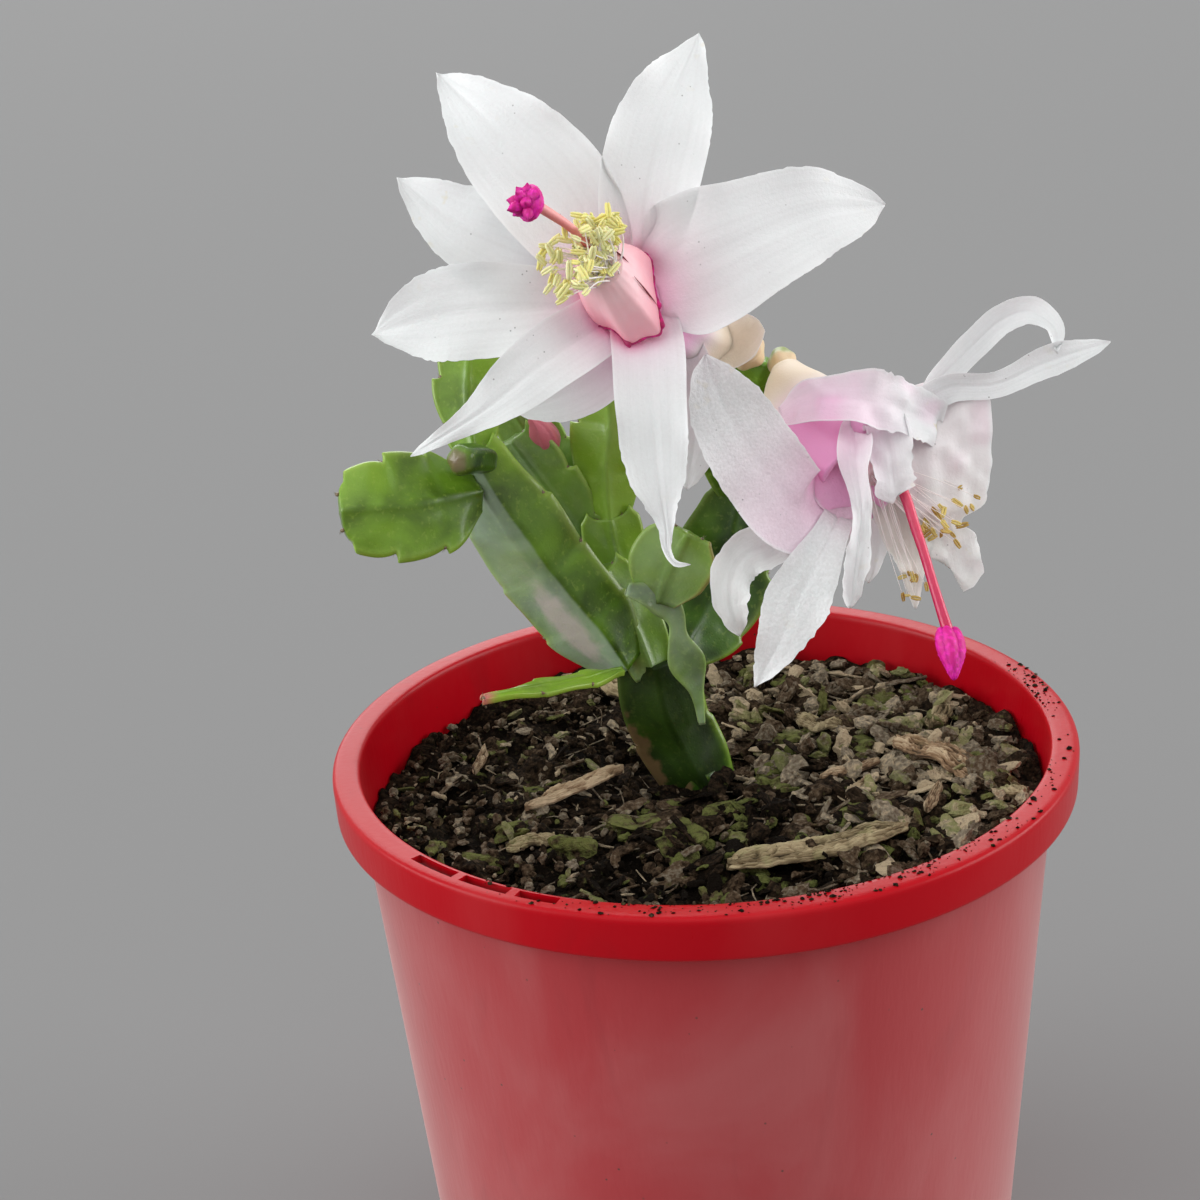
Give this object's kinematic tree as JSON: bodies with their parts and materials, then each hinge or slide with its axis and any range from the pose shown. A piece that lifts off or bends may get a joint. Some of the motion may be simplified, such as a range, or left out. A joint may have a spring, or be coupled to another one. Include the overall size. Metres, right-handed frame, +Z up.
{
  "type": "potted christmas cactus",
  "caption": "White-flowered christmas cactus with flat toothed stem segments and drooping blooms, rooted in a round red plastic nursery pot filled with potting mix.",
  "frame": {"origin": "centre of the pot's flat base, on the surface that it stands on", "axes": "+Z up; -Y is the front, which the blooms face; +X to the right of the front, where the lower bloom hangs"},
  "size_m": [0.1367, 0.1304, 0.2408],
  "materials": {
    "pot_plastic": "semi-gloss moulded red",
    "potting_mix": "damp crumbly peat and bark",
    "bark": "rough dry bark",
    "splinter": "dry bare wood",
    "stem": "waxy green skin",
    "young_stem": "waxy bright green skin",
    "bud": "satin pink",
    "ovary": "satin cream",
    "petal": "translucent white with a pink throat",
    "stamen": "pale yellow pollen on white threads",
    "pistil": "satin crimson"
  },
  "bodies": {
    "root": {"pot": "pot_plastic", "potting_mix": "potting_mix", "bark_chip_front": "bark", "bark_chip_right": "bark", "bark_chip_left": "bark", "bark_chip_back": "bark", "wood_splinter_left": "splinter", "wood_splinter_right": "splinter", "stem_trunk": "stem", "stem_left": "stem", "stem_low_shoot": "young_stem", "stem_centre": "stem", "stem_middle": "stem", "stem_round": "stem", "stem_right": "stem", "flower_bud": "bud", "front_bloom_ovary": "ovary", "front_bloom_petals": "petal", "front_bloom_stamens": "stamen", "front_bloom_pistil": "pistil", "side_bloom_ovary": "ovary", "side_bloom_petals": "petal", "side_bloom_stamens": "stamen", "side_bloom_pistil": "pistil"}
  },
  "joints": []
}
